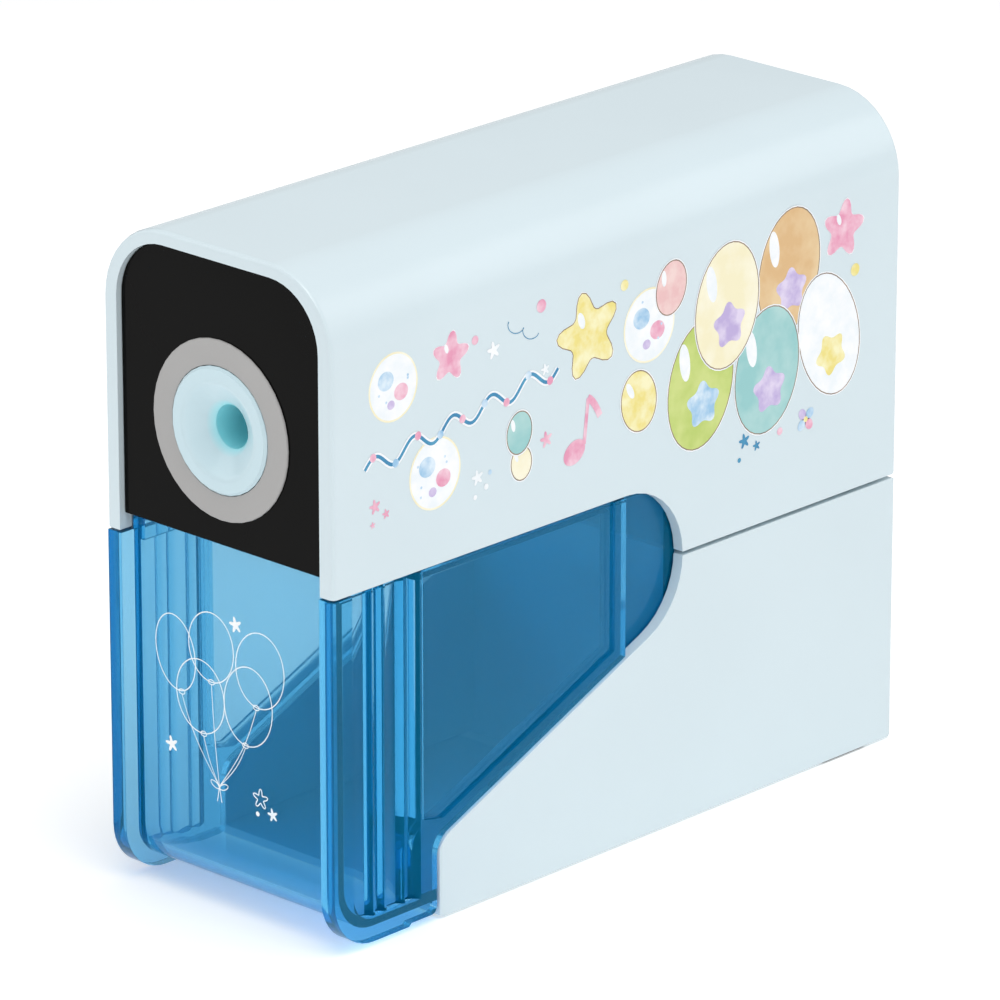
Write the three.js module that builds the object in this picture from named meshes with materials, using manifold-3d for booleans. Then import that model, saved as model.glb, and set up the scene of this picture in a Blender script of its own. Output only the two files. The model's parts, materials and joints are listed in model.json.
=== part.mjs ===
// Battery pencil sharpener with a clear drawer under a smooth casing.
// Millimetres, +Z up. The pencil goes in along +Y, so the front faces -Y. Z = 0 is the table.
import * as THREE from "three";
import { mergeVertices } from "three/addons/utils/BufferGeometryUtils.js";
import Module from "manifold-3d";

const wasm = await Module();
wasm.setup();

// ---- Driving dimensions -------------------------------------------------------------------

// Outside of the body.
const WIDTH = 60;
const DEPTH = 159;
const HEIGHT = 134;
const WALL = 2.4;
const TOP_RADIUS = 16;
const END_EDGE = 1;
const FOOT_DROP = 0.5;

// Joint line between the upper casing and the lower body.
const SEAM_Z = 56;
const SEAM_GAP = 0.8;
const LIP_HEIGHT = 4.4;
const LIP_WALL = 1.6;

// Side cut-out that shows the drawer: a slope, and a round rear end.
const WINDOW_RADIUS = 16;
const WINDOW_SLOPE = THREE.MathUtils.degToRad(23.4);
const WINDOW_TOE_RADIUS = 5;
const BODY_SETBACK = 28.1;

// Front rim and panel.
const RIM_SIDE = 3.5;
const RIM_TOP = 2.8;
const RIM_DEPTH = 3.2;
const PANEL_RECESS = 1.2;
const PANEL_FLANGE = 1.2;
const PANEL_BOTTOM_Z = 75.3;

// Pencil entry.
const PENCIL_Z = 98;
const TRIM_RADIUS = 17.75;
const TRIM_THICK = 0.5;
const GUIDE_RADIUS = 12.5;
const GUIDE_NECK_RADIUS = 10;
const GUIDE_MOUTH_RADIUS = 8.6;
const GUIDE_DISH = 3.3;
const THROAT_RADIUS = 4.3;
const GUIDE_TUBE_RADIUS = 5.6;
const GUIDE_PROUD = 1;
const NUT_RADIUS = 13.6;
const NUT_LENGTH = 2;
const LEVER_SLOT = { half: 1.8, length: 5.2 };
const SWITCH = { above: 17, half: 4.6, height: 7, front: 2.9, rear: 1.3, pivot: 1 };

// Drawer.
const DRAWER_WALL = 2;
const DRAWER_TOP_Z = 74.4;
const DRAWER_FLOOR_Z = 3.2;
const FACE_SETBACK = 3;
const CHEEK_BASE_Z = 1;
const CHEEK_CORNER = 10.5;
const SKID_LENGTH = 20;
const SKID_RISE = 0.6;
const GRIP_BAND = 5.2;
const GRIP_LENGTH = 18;
const GRIP_DEPTH = 2.2;
const FLUTE_HEIGHT = 1.5;
const FLUTE_WIDTH = 2.6;
const FLUTES = [6.2, 9.3, 14.3];
const PANEL_SINK = 0.7;
const PANEL_RIM = 3.2;

// Cells in the base.
const CELL_COUNT = 4;
const CELL_RADIUS = 7.1;
const CELL_LENGTH = 50.5;
const CELL_NUB_RADIUS = 2.6;
const CELL_NUB_LENGTH = 1.4;
const PARTITION = 1.6;
const DOOR_THICK = 2;
const CONTACT_THICK = 0.5;
const SPRING = { wide: 4.2, narrow: 2, wire: 0.25, turns: 1.5 };

// Feet: round ones in front, bars along the rear of the side walls.
const FOOT = { radius: 4, depth: 1, inset: 9, barWidth: 2.6, barLength: 14 };

// Screws: pilot holes, clearance holes, and how far the heads stand.
const SCREW = { pilot: 1.4, clear: 1.7, head: 2.6, shank: 1.2 };
const CHASSIS_SCREW_HEAD = 1.8;
const CASE_SCREW_HEAD = 1.2;
const CHASSIS_SCREW_LENGTH = 8;
const CASE_SCREW_LENGTH = 7;

// Gears: teeth and module (pitch diameter over teeth).
const RING = { teeth: 36, module: 1 };
const PLANET = { teeth: 10, module: 1 };
const CARRIER_GEAR = { teeth: 30, module: 0.8 };
const SMALL_WHEEL = { teeth: 10, module: 0.8 };
const LARGE_WHEEL = { teeth: 36, module: 0.6 };
const MOTOR_PINION = { teeth: 9, module: 0.6 };
const TOOTH_PLAY = 0.3;

// Cutter head, measured back from the front face.
const PLANET_SETBACK = 15;
const CUT_TIP_SETBACK = 50;
const CUTTER_RADIUS = 6;
const CUTTER_LENGTH = 28;
const CUTTER_TEETH = 11;
const CUTTER_TWIST = THREE.MathUtils.degToRad(70);
const POINT_GAP = 0.3;
const CARRIER_RADIUS = 18.3;
const CARRIER_DISC = 2.6;
const HUB_RADIUS = 4.5;
const CUTTER_FROM = 7.6;
const SLEEVE_RADIUS = 2.9;
const PIN_RADIUS = 1.6;
const PLANET_FACE = [-2.2, 1.4];
const RING_TEETH = 5.2;
const RING_LENGTH = 9.4;
const REAR_DISC = { setback: 2.5, length: 4.6, radius: 15.5 };
const CARRIER_GEAR_WIDTH = 4.6;
const LARGE_WHEEL_WIDTH = 3;
const AXLE_RADIUS = 1.5;

// Chassis and motor, measured back from the front face.
const BULKHEAD_SETBACK = 9.5;
const GEARBOX_SETBACK = 58.9;
const GEARBOX_LENGTH = 19.6;
const PLATE = 2.4;
const CHASSIS_FLOOR_Z = 75.4;
const CHASSIS_FLOOR = 2;
const MOTOR_RADIUS = 13.85;
const MOTOR_LENGTH = 31;
const MOTOR_BEARING = 5;
const MOTOR_SHAFT = 1.15;

// Clearances.
const FIT = 0.4;
const SEAT = 0.1;
const SLIDE_GAP = 0.5;

// ---- Derived places -----------------------------------------------------------------------

const FRONT_Y = -DEPTH / 2;
const REAR_Y = DEPTH / 2;
const HALF = WIDTH / 2;
const INNER = HALF - WALL;
const BASE_Z = FOOT_DROP;
const FLOOR_TOP_Z = DRAWER_FLOOR_Z - SLIDE_GAP;
const BODY_FRONT_Y = FRONT_Y + BODY_SETBACK;

const CELL_PITCH = 2 * CELL_RADIUS + SEAT;
const BAY_REAR_Y = REAR_Y - WALL;
const BAY_FRONT_Y = BAY_REAR_Y - CELL_COUNT * CELL_PITCH - 2 * FIT;
const PARTITION_Y = BAY_FRONT_Y - PARTITION;
const DOOR_TOP_Z = BASE_Z + DOOR_THICK;
const CELL_Z = DOOR_TOP_Z + FIT + CELL_RADIUS;
const BAY_TOP_Z = CELL_Z + CELL_RADIUS + FIT;

const SKIRT_Z = SEAM_Z + WINDOW_RADIUS;
const WINDOW_CENTRE_Y = PARTITION_Y - 1 - WINDOW_RADIUS;

const PANEL_FACE_Y = FRONT_Y + PANEL_RECESS;
const PANEL_REAR_Y = FRONT_Y + RIM_DEPTH + SEAT + PANEL_FLANGE;
const GUIDE_FRONT_Y = PANEL_FACE_Y - GUIDE_PROUD;
const NUT_Y = PANEL_REAR_Y + SEAT;
const SWITCH_Y = NUT_Y + NUT_LENGTH + 1.4;
const SWITCH_Z = PENCIL_Z + SWITCH.above;
const BULKHEAD_Y = FRONT_Y + BULKHEAD_SETBACK;
const GEARBOX_Y = FRONT_Y + GEARBOX_SETBACK;
const MOTOR_Y = GEARBOX_Y + GEARBOX_LENGTH + SEAT;

const PLANET_Y = FRONT_Y + PLANET_SETBACK;
const CUT_TIP_Y = FRONT_Y + CUT_TIP_SETBACK;
const PLANET_OFFSET = pitchRadius(RING) - pitchRadius(PLANET);
const TIP_OFFSET = CUTTER_RADIUS + POINT_GAP;
const CUTTER_TILT = Math.atan((PLANET_OFFSET - TIP_OFFSET) / (CUT_TIP_Y - PLANET_Y));
const WHEEL_Z = PENCIL_Z + pitchRadius(CARRIER_GEAR) + pitchRadius(SMALL_WHEEL);
const MOTOR_Z = WHEEL_Z - pitchRadius(LARGE_WHEEL) - pitchRadius(MOTOR_PINION);

const RING_Y = BULKHEAD_Y + PLATE + SEAT;
const DISC_Y = RING_Y + RING_TEETH + 1;
const REAR_DISC_Y = CUT_TIP_Y + REAR_DISC.setback;
const REAR_DISC_END_Y = REAR_DISC_Y + REAR_DISC.length;
const CUTTER_TO = CUTTER_FROM + CUTTER_LENGTH;
const PIN_END = (REAR_DISC_END_Y - 0.8 - PLANET_Y) / Math.cos(CUTTER_TILT);
const BUSH_RADIUS = HUB_RADIUS + 2.5;
const BUSH_FLANGE = HUB_RADIUS + 4.5;
const CARRIER_GEAR_Y = GEARBOX_Y + PLATE + 1.6;
const HUB_END_Y = CARRIER_GEAR_Y + CARRIER_GEAR_WIDTH + 0.6;
const LARGE_WHEEL_Y = HUB_END_Y + 1;

const CHASSIS_SCREW_X = HALF - TOP_RADIUS + 3;
const CHASSIS_SCREW_Z = HEIGHT - TOP_RADIUS + 4;
const CHASSIS_SCREW_Y = [BULKHEAD_Y + PLATE + SEAT, GEARBOX_Y + GEARBOX_LENGTH + SEAT];
const CASE_SCREW_X = HALF - 11;
const CASE_SCREW_Z = SEAM_Z + 9;
const FRONT_FOOT = { x: HALF - FOOT.inset, y: BODY_FRONT_Y + FOOT.inset };
const REAR_FOOT = { x: HALF - WALL / 2 - 0.6, y: REAR_Y - 14 };

const DOOR_HALF = CELL_LENGTH / 2 + SEAT;
const DOOR_Y = [BAY_FRONT_Y + 1.4, BAY_REAR_Y - 1.2];
const CONTACT_X = INNER - CONTACT_THICK - SEAT;
const CONTACT_REACH = CONTACT_X - CELL_LENGTH / 2 - SEAT;

// ---- Solids -------------------------------------------------------------------------------

function solidOf(geometry) {
  const bare = geometry.index ? geometry.toNonIndexed() : geometry.clone();
  bare.deleteAttribute("normal");
  bare.deleteAttribute("uv");
  const merged = mergeVertices(bare, 1e-4);
  const index = merged.index.array;
  const kept = [];
  for (let i = 0; i < index.length; i += 3) {
    const [a, b, c] = [index[i], index[i + 1], index[i + 2]];
    if (a !== b && b !== c && c !== a) kept.push(a, b, c);
  }
  return new wasm.Manifold(
    new wasm.Mesh({
      numProp: 3,
      vertProperties: new Float32Array(merged.attributes.position.array),
      triVerts: new Uint32Array(kept),
    }),
  );
}

function join(first, ...others) {
  return others.reduce((whole, piece) => whole.add(piece), first);
}

function cut(whole, ...tools) {
  return tools.reduce((left, tool) => left.subtract(tool), whole);
}

// Closed outline from [u, v, radius] corners; a corner with a radius becomes a tangent arc.
function outline(corners) {
  const shape = new THREE.Shape();
  const count = corners.length;
  corners.forEach(([u, v, radius = 0], i) => {
    const here = new THREE.Vector2(u, v);
    const before = new THREE.Vector2(...corners[(i + count - 1) % count]);
    const after = new THREE.Vector2(...corners[(i + 1) % count]);
    const back = before.sub(here).normalize();
    const on = after.sub(here).normalize();
    if (radius === 0) {
      if (i === 0) shape.moveTo(u, v);
      else shape.lineTo(u, v);
      return;
    }
    const half = back.angleTo(on) / 2;
    const start = here.clone().addScaledVector(back, radius / Math.tan(half));
    const end = here.clone().addScaledVector(on, radius / Math.tan(half));
    const centre = back.clone().add(on).normalize();
    centre.multiplyScalar(radius / Math.sin(half)).add(here);
    const from = Math.atan2(start.y - centre.y, start.x - centre.x);
    const to = Math.atan2(end.y - centre.y, end.x - centre.x);
    const clockwise = back.cross(on) > 0;
    if (i === 0) shape.moveTo(start.x, start.y);
    else shape.lineTo(start.x, start.y);
    shape.absarc(centre.x, centre.y, radius, from, to, clockwise);
  });
  shape.closePath();
  return shape;
}

function extruded(shape, length, segments, edge) {
  return new THREE.ExtrudeGeometry(shape, {
    depth: length - 2 * edge,
    curveSegments: segments,
    bevelEnabled: edge > 0,
    bevelThickness: edge,
    bevelSize: edge,
    bevelOffset: -edge,
    bevelSegments: 2,
  }).translate(0, 0, edge);
}

// Prism along X whose outline is drawn in Y and Z.
function prismX(shape, [from, to], segments = 5) {
  const turn = new THREE.Matrix4().makeBasis(
    new THREE.Vector3(0, 1, 0),
    new THREE.Vector3(0, 0, 1),
    new THREE.Vector3(1, 0, 0),
  );
  return solidOf(extruded(shape, to - from, segments, 0).applyMatrix4(turn).translate(from, 0, 0));
}

// Prism along Y whose outline is drawn in X and Z; edge rounds both of its ends.
function prismY(shape, [from, to], segments = 5, edge = 0) {
  return solidOf(
    extruded(shape, to - from, segments, edge)
      .rotateX(Math.PI / 2)
      .translate(0, to, 0),
  );
}

function prismZ(shape, [from, to], segments = 4) {
  return solidOf(extruded(shape, to - from, segments, 0).translate(0, 0, from));
}

function block([x0, x1], [y0, y1], [z0, z1]) {
  const box = new THREE.BoxGeometry(x1 - x0, y1 - y0, z1 - z0);
  return solidOf(box.translate((x0 + x1) / 2, (y0 + y1) / 2, (z0 + z1) / 2));
}

function rodY(radius, [from, to], x = 0, z = 0, sides = 24) {
  const rod = new THREE.CylinderGeometry(radius, radius, to - from, sides);
  return solidOf(rod.translate(x, (from + to) / 2, z));
}

function rodX(radius, [from, to], y = 0, z = 0, sides = 16) {
  const rod = new THREE.CylinderGeometry(radius, radius, to - from, sides);
  return solidOf(rod.rotateZ(-Math.PI / 2).translate((from + to) / 2, y, z));
}

function rodZ(radius, [from, to], x = 0, y = 0, sides = 16) {
  const rod = new THREE.CylinderGeometry(radius, radius, to - from, sides);
  return solidOf(rod.rotateX(Math.PI / 2).translate(x, y, (from + to) / 2));
}

// Solid of revolution about Y from [radius, y] corners listed round the section.
function turned(corners, sides = 24) {
  const points = [...corners, corners[0]].map(([radius, y]) => new THREE.Vector2(radius, y));
  return solidOf(new THREE.LatheGeometry(points, sides));
}

function geometryOf(solid) {
  const mesh = solid.getMesh();
  const geometry = new THREE.BufferGeometry();
  geometry.setAttribute("position", new THREE.BufferAttribute(mesh.vertProperties, 3));
  geometry.setIndex(new THREE.BufferAttribute(mesh.triVerts, 1));
  geometry.computeVertexNormals();
  return geometry;
}

// Range across X from a to b on the side that sign names.
function onSide(sign, a, b) {
  return sign > 0 ? [a, b] : [-b, -a];
}

function addPart(parent, name, solid, material, [x, y, z] = [0, 0, 0]) {
  const mesh = new THREE.Mesh(geometryOf(solid), material());
  mesh.name = name;
  mesh.position.set(x, y, z);
  parent.add(mesh);
  return mesh;
}

function both(parent, name, build) {
  build(parent, `${name}_left`, -1);
  build(parent, `${name}_right`, 1);
}

// ---- Materials ----------------------------------------------------------------------------

function finish(color, roughness, metalness = 0, more = {}) {
  return () => new THREE.MeshStandardMaterial({ color, roughness, metalness, ...more });
}

const paleBlue = finish(0xd7e5ea, 0.28);
const black = finish(0x21201f, 0.12);
const silver = finish(0xafadac, 0.45, 0.5);
const guideBlue = finish(0xcde6ec, 0.25);
const clearBlue = finish(0x0073a5, 0.08, 0, { transparent: true, opacity: 0.75 });
const whiteNylon = finish(0xe9e7de, 0.5);
const greyNylon = finish(0x8d9196, 0.5);
const steel = finish(0x9b9ea2, 0.3, 1);
const zinc = finish(0xb9bcc0, 0.35, 1);
const brass = finish(0xc9a24a, 0.35, 1);
const rubber = finish(0x3b3d40, 0.9);
const cellJacket = finish(0x46505c, 0.35, 0.3);
const blackPlastic = finish(0x2a2b2d, 0.5);

// ---- Gears --------------------------------------------------------------------------------

function pitchRadius(gear) {
  return (gear.teeth * gear.module) / 2;
}

function involute(angle) {
  return Math.tan(angle) - angle;
}

// Involute gear outline with a tooth on +Z; tip and root are in modules from the pitch circle.
function gearOutline(gear, { tip = 0.85, root = 1.2, play = TOOTH_PLAY } = {}) {
  const pitch = pitchRadius(gear);
  const pressure = THREE.MathUtils.degToRad(20);
  const base = pitch * Math.cos(pressure);
  const halfAtPitch = Math.PI / (2 * gear.teeth) - (play * gear.module) / (2 * pitch);
  const half = (radius) => {
    const angle = radius > base ? Math.acos(base / radius) : 0;
    return halfAtPitch + involute(pressure) - involute(angle);
  };
  const ends = [pitch - root * gear.module, pitch + tip * gear.module];
  const flank = gear.teeth < 20 ? [ends[0], pitch, ends[1]] : ends;
  const points = [];
  for (let tooth = 0; tooth < gear.teeth; tooth += 1) {
    const middle = Math.PI / 2 + (tooth * 2 * Math.PI) / gear.teeth;
    const rising = flank.map((radius) => [radius, middle - half(radius)]);
    const falling = flank.map((radius) => [radius, middle + half(radius)]).reverse();
    points.push(...rising, ...falling);
  }
  return new THREE.Shape(
    points.map(([radius, angle]) => new THREE.Vector2(radius * Math.cos(angle), radius * Math.sin(angle))),
  );
}

// ---- Casing and lower body ----------------------------------------------------------------

// Region of the side that the cut-out leaves open, shrunk by gap all round.
function windowCorners(gap) {
  const tangentY = WINDOW_CENTRE_Y + WINDOW_RADIUS * Math.sin(WINDOW_SLOPE);
  const tangentZ = SEAM_Z - WINDOW_RADIUS * Math.cos(WINDOW_SLOPE) + gap / Math.cos(WINDOW_SLOPE);
  const slopeZ = (y) => tangentZ + (y - tangentY) * Math.tan(WINDOW_SLOPE);
  const top = SKIRT_Z - gap;
  const toeY = BODY_FRONT_Y - gap;
  const apexY = tangentY + (top - tangentZ) / Math.tan(WINDOW_SLOPE);
  return { slopeZ, top, toeY, apexY };
}

function windowCut() {
  const { slopeZ, top, toeY, apexY } = windowCorners(0);
  return outline([
    [FRONT_Y - 1, BASE_Z - 1],
    [toeY, BASE_Z - 1],
    [toeY, slopeZ(toeY), WINDOW_TOE_RADIUS],
    [apexY, top, WINDOW_RADIUS],
    [FRONT_Y - 1, top],
  ]);
}

// Section of the upper casing or its cavity: square feet, round shoulders.
function arch(half, bottom, top, radius) {
  return outline([
    [-half, bottom],
    [half, bottom],
    [half, top, radius],
    [-half, top, radius],
  ]);
}

// Boss under the casing's roof that takes one chassis screw.
function screwBoss(sign, y) {
  const x = sign * CHASSIS_SCREW_X;
  const length = CHASSIS_SCREW_LENGTH;
  const tower = block([x - 3, x + 3], [y, y + length], [HEIGHT - TOP_RADIUS, HEIGHT - WALL + SEAT]);
  return cut(tower, rodY(SCREW.pilot, [y - 1, y + length - 1], x, CHASSIS_SCREW_Z, 12));
}

function upperCasing() {
  const lower = SEAM_Z + SEAM_GAP / 2;
  const shell = prismY(arch(HALF, lower, HEIGHT, TOP_RADIUS), [FRONT_Y, REAR_Y], 5, END_EDGE);
  const cavity = prismY(
    arch(INNER, lower - 1, HEIGHT - WALL, TOP_RADIUS - WALL),
    [FRONT_Y + RIM_DEPTH, REAR_Y - WALL],
  );
  const mouth = prismY(
    arch(HALF - RIM_SIDE, lower - 1, HEIGHT - RIM_TOP, TOP_RADIUS - RIM_SIDE),
    [FRONT_Y - 1, FRONT_Y + RIM_DEPTH + 1],
  );
  const sides = prismX(windowCut(), [-HALF - 1, HALF + 1], 8);
  let casing = cut(shell, cavity, mouth, sides);
  for (const sign of [-1, 1]) {
    for (const y of CHASSIS_SCREW_Y) casing = join(casing, screwBoss(sign, y));
    const x = sign * CASE_SCREW_X;
    casing = cut(
      casing,
      rodY(SCREW.clear, [REAR_Y - WALL - 1, REAR_Y + 1], x, CASE_SCREW_Z, 12),
      rodY(SCREW.head + 0.5, [REAR_Y - CASE_SCREW_HEAD - SEAT, REAR_Y + 1], x, CASE_SCREW_Z, 16),
    );
  }
  return casing;
}

function lowerBody() {
  const top = SEAM_Z - SEAM_GAP / 2;
  const bodyOutline = outline([
    [-HALF, BASE_Z],
    [HALF, BASE_Z],
    [HALF, top],
    [-HALF, top],
  ]);
  const doorGap = [DOOR_Y[0] - FIT, DOOR_Y[1] + FIT];
  let body = prismY(bodyOutline, [BODY_FRONT_Y, REAR_Y], 5, END_EDGE);
  body = cut(
    body,
    prismX(windowCut(), [-HALF - 1, HALF + 1], 8),
    block([-INNER, INNER], [BODY_FRONT_Y - 1, PARTITION_Y], [FLOOR_TOP_Z, top + 1]),
    block([-INNER, INNER], [BAY_FRONT_Y, BAY_REAR_Y], [BAY_TOP_Z + PARTITION, top + 1]),
    block([-INNER, INNER], [BAY_FRONT_Y, BAY_REAR_Y], [DOOR_TOP_Z + SEAT, BAY_TOP_Z]),
    block([-DOOR_HALF - FIT, DOOR_HALF + FIT], doorGap, [BASE_Z - 1, DOOR_TOP_Z + 1]),
  );
  const lipOuter = INNER - FIT;
  for (const sign of [-1, 1]) {
    const root = onSide(sign, lipOuter - LIP_WALL, INNER + SEAT);
    const lip = onSide(sign, lipOuter - LIP_WALL, lipOuter);
    body = join(
      body,
      block(root, [BAY_FRONT_Y, BAY_REAR_Y + SEAT], [top - 4, top]),
      block(lip, [BAY_FRONT_Y, BAY_REAR_Y - FIT], [top - 1, top + LIP_HEIGHT]),
    );
    body = join(body, caseBoss(sign, top));
    body = cut(body, ...footPockets(sign));
  }
  return body;
}

// Post behind the casing's rear wall that takes one case screw.
function caseBoss(sign, top) {
  const x = sign * CASE_SCREW_X;
  const rear = BAY_REAR_Y - FIT;
  const front = rear - CASE_SCREW_LENGTH;
  const post = join(
    block([x - 4, x + 4], [front, rear], [top - 6, CASE_SCREW_Z + 4]),
    block([x - 4, x + 4], [front, BAY_REAR_Y + SEAT], [top - 6, top - 1]),
  );
  return cut(post, rodY(SCREW.pilot, [front + 1, rear + 1], x, CASE_SCREW_Z, 12));
}

// ---- Feet ---------------------------------------------------------------------------------

function footBar(grow, from, to) {
  const half = FOOT.barWidth / 2 + grow;
  const length = FOOT.barLength / 2 + grow;
  const round = half * 0.95;
  return prismZ(
    outline([
      [-half, -length, round],
      [half, -length, round],
      [half, length, round],
      [-half, length, round],
    ]),
    [from, to],
    2,
  );
}

function footPockets(sign) {
  return [
    rodZ(FOOT.radius + SEAT, [BASE_Z - 1, BASE_Z + FOOT.depth], sign * FRONT_FOOT.x, FRONT_FOOT.y),
    footBar(SEAT, BASE_Z - 1, BASE_Z + FOOT.depth).translate([sign * REAR_FOOT.x, REAR_FOOT.y, 0]),
  ];
}

function addFeet(parent) {
  const height = BASE_Z + FOOT.depth - SEAT;
  both(parent, "foot_front", (to, name, sign) =>
    addPart(to, name, rodZ(FOOT.radius, [0, height]), rubber, [sign * FRONT_FOOT.x, FRONT_FOOT.y, 0]),
  );
  both(parent, "foot_rear", (to, name, sign) =>
    addPart(to, name, footBar(0, 0, height), rubber, [sign * REAR_FOOT.x, REAR_FOOT.y, 0]),
  );
}

// ---- Front panel and pencil entry ---------------------------------------------------------

function frontPanel() {
  const radius = TOP_RADIUS - RIM_SIDE - SEAT;
  const face = arch(HALF - RIM_SIDE - SEAT, PANEL_BOTTOM_Z, HEIGHT - RIM_TOP - SEAT, radius);
  const flange = arch(INNER - FIT, PANEL_BOTTOM_Z, HEIGHT - WALL - FIT, TOP_RADIUS - WALL - FIT);
  return cut(
    join(
      prismY(face, [PANEL_FACE_Y, PANEL_REAR_Y], 6),
      prismY(flange, [PANEL_REAR_Y - PANEL_FLANGE, PANEL_REAR_Y], 6),
    ),
    rodY(GUIDE_NECK_RADIUS + SEAT, [PANEL_FACE_Y - 1, PANEL_REAR_Y + 1], 0, PENCIL_Z, 32),
  );
}

function trimRing() {
  const front = PANEL_FACE_Y - TRIM_THICK;
  return turned([
    [GUIDE_RADIUS + SEAT, PANEL_FACE_Y - SEAT / 2],
    [GUIDE_RADIUS + SEAT, front],
    [TRIM_RADIUS - 0.2, front],
    [TRIM_RADIUS, front + 0.2],
    [TRIM_RADIUS, PANEL_FACE_Y - SEAT / 2],
  ], 40);
}

// Flanged funnel: a dished mouth, a rounded throat and a tube that carries the pencil to the head.
function pencilGuide() {
  const seat = PANEL_FACE_Y - SEAT / 2;
  const neckEnd = NUT_Y + NUT_LENGTH + SEAT;
  const throat = GUIDE_FRONT_Y + GUIDE_DISH;
  const tubeEnd = PLANET_Y + 2;
  const guide = turned([
    [GUIDE_RADIUS - 0.5, GUIDE_FRONT_Y],
    [GUIDE_RADIUS, GUIDE_FRONT_Y + 0.5],
    [GUIDE_RADIUS, seat],
    [GUIDE_NECK_RADIUS, seat],
    [GUIDE_NECK_RADIUS, neckEnd],
    [GUIDE_TUBE_RADIUS, neckEnd],
    [GUIDE_TUBE_RADIUS, tubeEnd],
    [THROAT_RADIUS, tubeEnd],
    [THROAT_RADIUS, throat + 0.5],
    [THROAT_RADIUS + 1.2, throat - 0.8],
    [GUIDE_MOUTH_RADIUS, GUIDE_FRONT_Y + 0.7],
    [GUIDE_MOUTH_RADIUS + 1.4, GUIDE_FRONT_Y],
  ], 30);
  const slotFrom = neckEnd + 0.3;
  const slot = block(
    [-LEVER_SLOT.half, LEVER_SLOT.half],
    [slotFrom, slotFrom + LEVER_SLOT.length],
    [0, GUIDE_TUBE_RADIUS + 1],
  );
  return cut(guide, slot);
}

function guideNut() {
  const nut = turned([
    [GUIDE_NECK_RADIUS + SEAT, 0],
    [NUT_RADIUS, 0],
    [NUT_RADIUS, NUT_LENGTH],
    [GUIDE_NECK_RADIUS + SEAT, NUT_LENGTH],
  ]);
  const notches = [0, 1, 2, 3].map((quarter) => {
    const angle = (quarter * Math.PI) / 2 + Math.PI / 4;
    return rodY(1.5, [-1, NUT_LENGTH + 1], NUT_RADIUS * Math.cos(angle), NUT_RADIUS * Math.sin(angle), 10);
  });
  return cut(nut, ...notches);
}

function addEntry(parent) {
  addPart(parent, "front_panel", frontPanel(), black);
  const axis = new THREE.Group();
  axis.position.z = PENCIL_Z;
  parent.add(axis);
  addPart(axis, "trim_ring", trimRing(), silver);
  addPart(axis, "pencil_guide", pencilGuide(), guideBlue);
  addPart(axis, "guide_nut", guideNut(), blackPlastic, [0, NUT_Y, 0]);
}

// ---- Pencil switch ------------------------------------------------------------------------

function switchBody() {
  const { half, height, front, rear, pivot } = SWITCH;
  const body = block([-half, half], [-front, rear], [-1.6, height]);
  const slot = block([-half + 1.4, half - 1.4], [-front - 1, rear + 1], [-3, 2.2]);
  return cut(body, slot, rodX(pivot, [-half - 1, half + 1], 0, 0, 12));
}

function switchLever() {
  const reach = SWITCH.above - THROAT_RADIUS + 0.7;
  const hub = SWITCH.half - 1.7;
  return join(
    rodX(SWITCH.pivot + 0.5, [-hub, hub], 0, 0, 12),
    rodX(SWITCH.pivot - 0.2, [0.3 - SWITCH.half, SWITCH.half - 0.3], 0, 0, 12),
    block([-1.3, 1.3], [-0.6, 0.6], [-reach + 1, 0]),
    rodX(0.9, [-1.3, 1.3], 0, -reach + 0.9, 12),
  );
}

function addSwitch(parent) {
  const place = [0, SWITCH_Y, SWITCH_Z];
  addPart(parent, "switch_body", switchBody(), blackPlastic, place);
  addPart(parent, "switch_lever", switchLever(), whiteNylon, place);
}

// ---- Drawer -------------------------------------------------------------------------------

function tubOutline(inset, rise) {
  const front = FRONT_Y + FACE_SETBACK + inset;
  const rear = PARTITION_Y - FIT + 0.1 - inset;
  const floor = DRAWER_FLOOR_Z + inset;
  return outline([
    [front, DRAWER_TOP_Z + rise],
    [front, floor, 9 - inset],
    [rear, floor, 5 - inset],
    [rear, DRAWER_TOP_Z + rise],
  ]);
}

// Flush side of the drawer: rounded front corner, skid, and the slope it shares with the body.
function cheekOutline() {
  const { slopeZ, top, toeY } = windowCorners(SLIDE_GAP);
  const rear = WINDOW_CENTRE_Y;
  const stepY = FRONT_Y + SKID_LENGTH;
  return outline([
    [FRONT_Y, top],
    [FRONT_Y, CHEEK_BASE_Z, CHEEK_CORNER],
    [stepY, CHEEK_BASE_Z],
    [stepY + SKID_RISE, CHEEK_BASE_Z + SKID_RISE],
    [toeY, CHEEK_BASE_Z + SKID_RISE, 1.5],
    [toeY, slopeZ(toeY), WINDOW_TOE_RADIUS],
    [rear, slopeZ(rear)],
    [rear, top],
  ]);
}

// Grip recess seen from the side: a band away from the drawer's front edge and underside.
function gripOutline() {
  const front = FRONT_Y + GRIP_BAND;
  const floor = CHEEK_BASE_Z + GRIP_BAND - 0.4;
  return outline([
    [front, SKIRT_Z + 1],
    [front, floor, CHEEK_CORNER - GRIP_BAND],
    [front + GRIP_LENGTH, floor],
    [front + GRIP_LENGTH, SKIRT_Z + 1],
  ]);
}

// Depth of the grip at a distance behind its front edge: round ends, and a raised wave for each flute.
function gripDepth(back) {
  const ends = Math.min(1, back / 1.6, (GRIP_LENGTH - back) / 2.6);
  const flutes = FLUTES.map((middle) => {
    const offset = Math.min(1, Math.abs(back - middle) / (FLUTE_WIDTH / 2));
    return FLUTE_HEIGHT * 0.5 * (1 + Math.cos(Math.PI * offset));
  });
  return GRIP_DEPTH * Math.sin((ends * Math.PI) / 2) - Math.max(...flutes);
}

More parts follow.
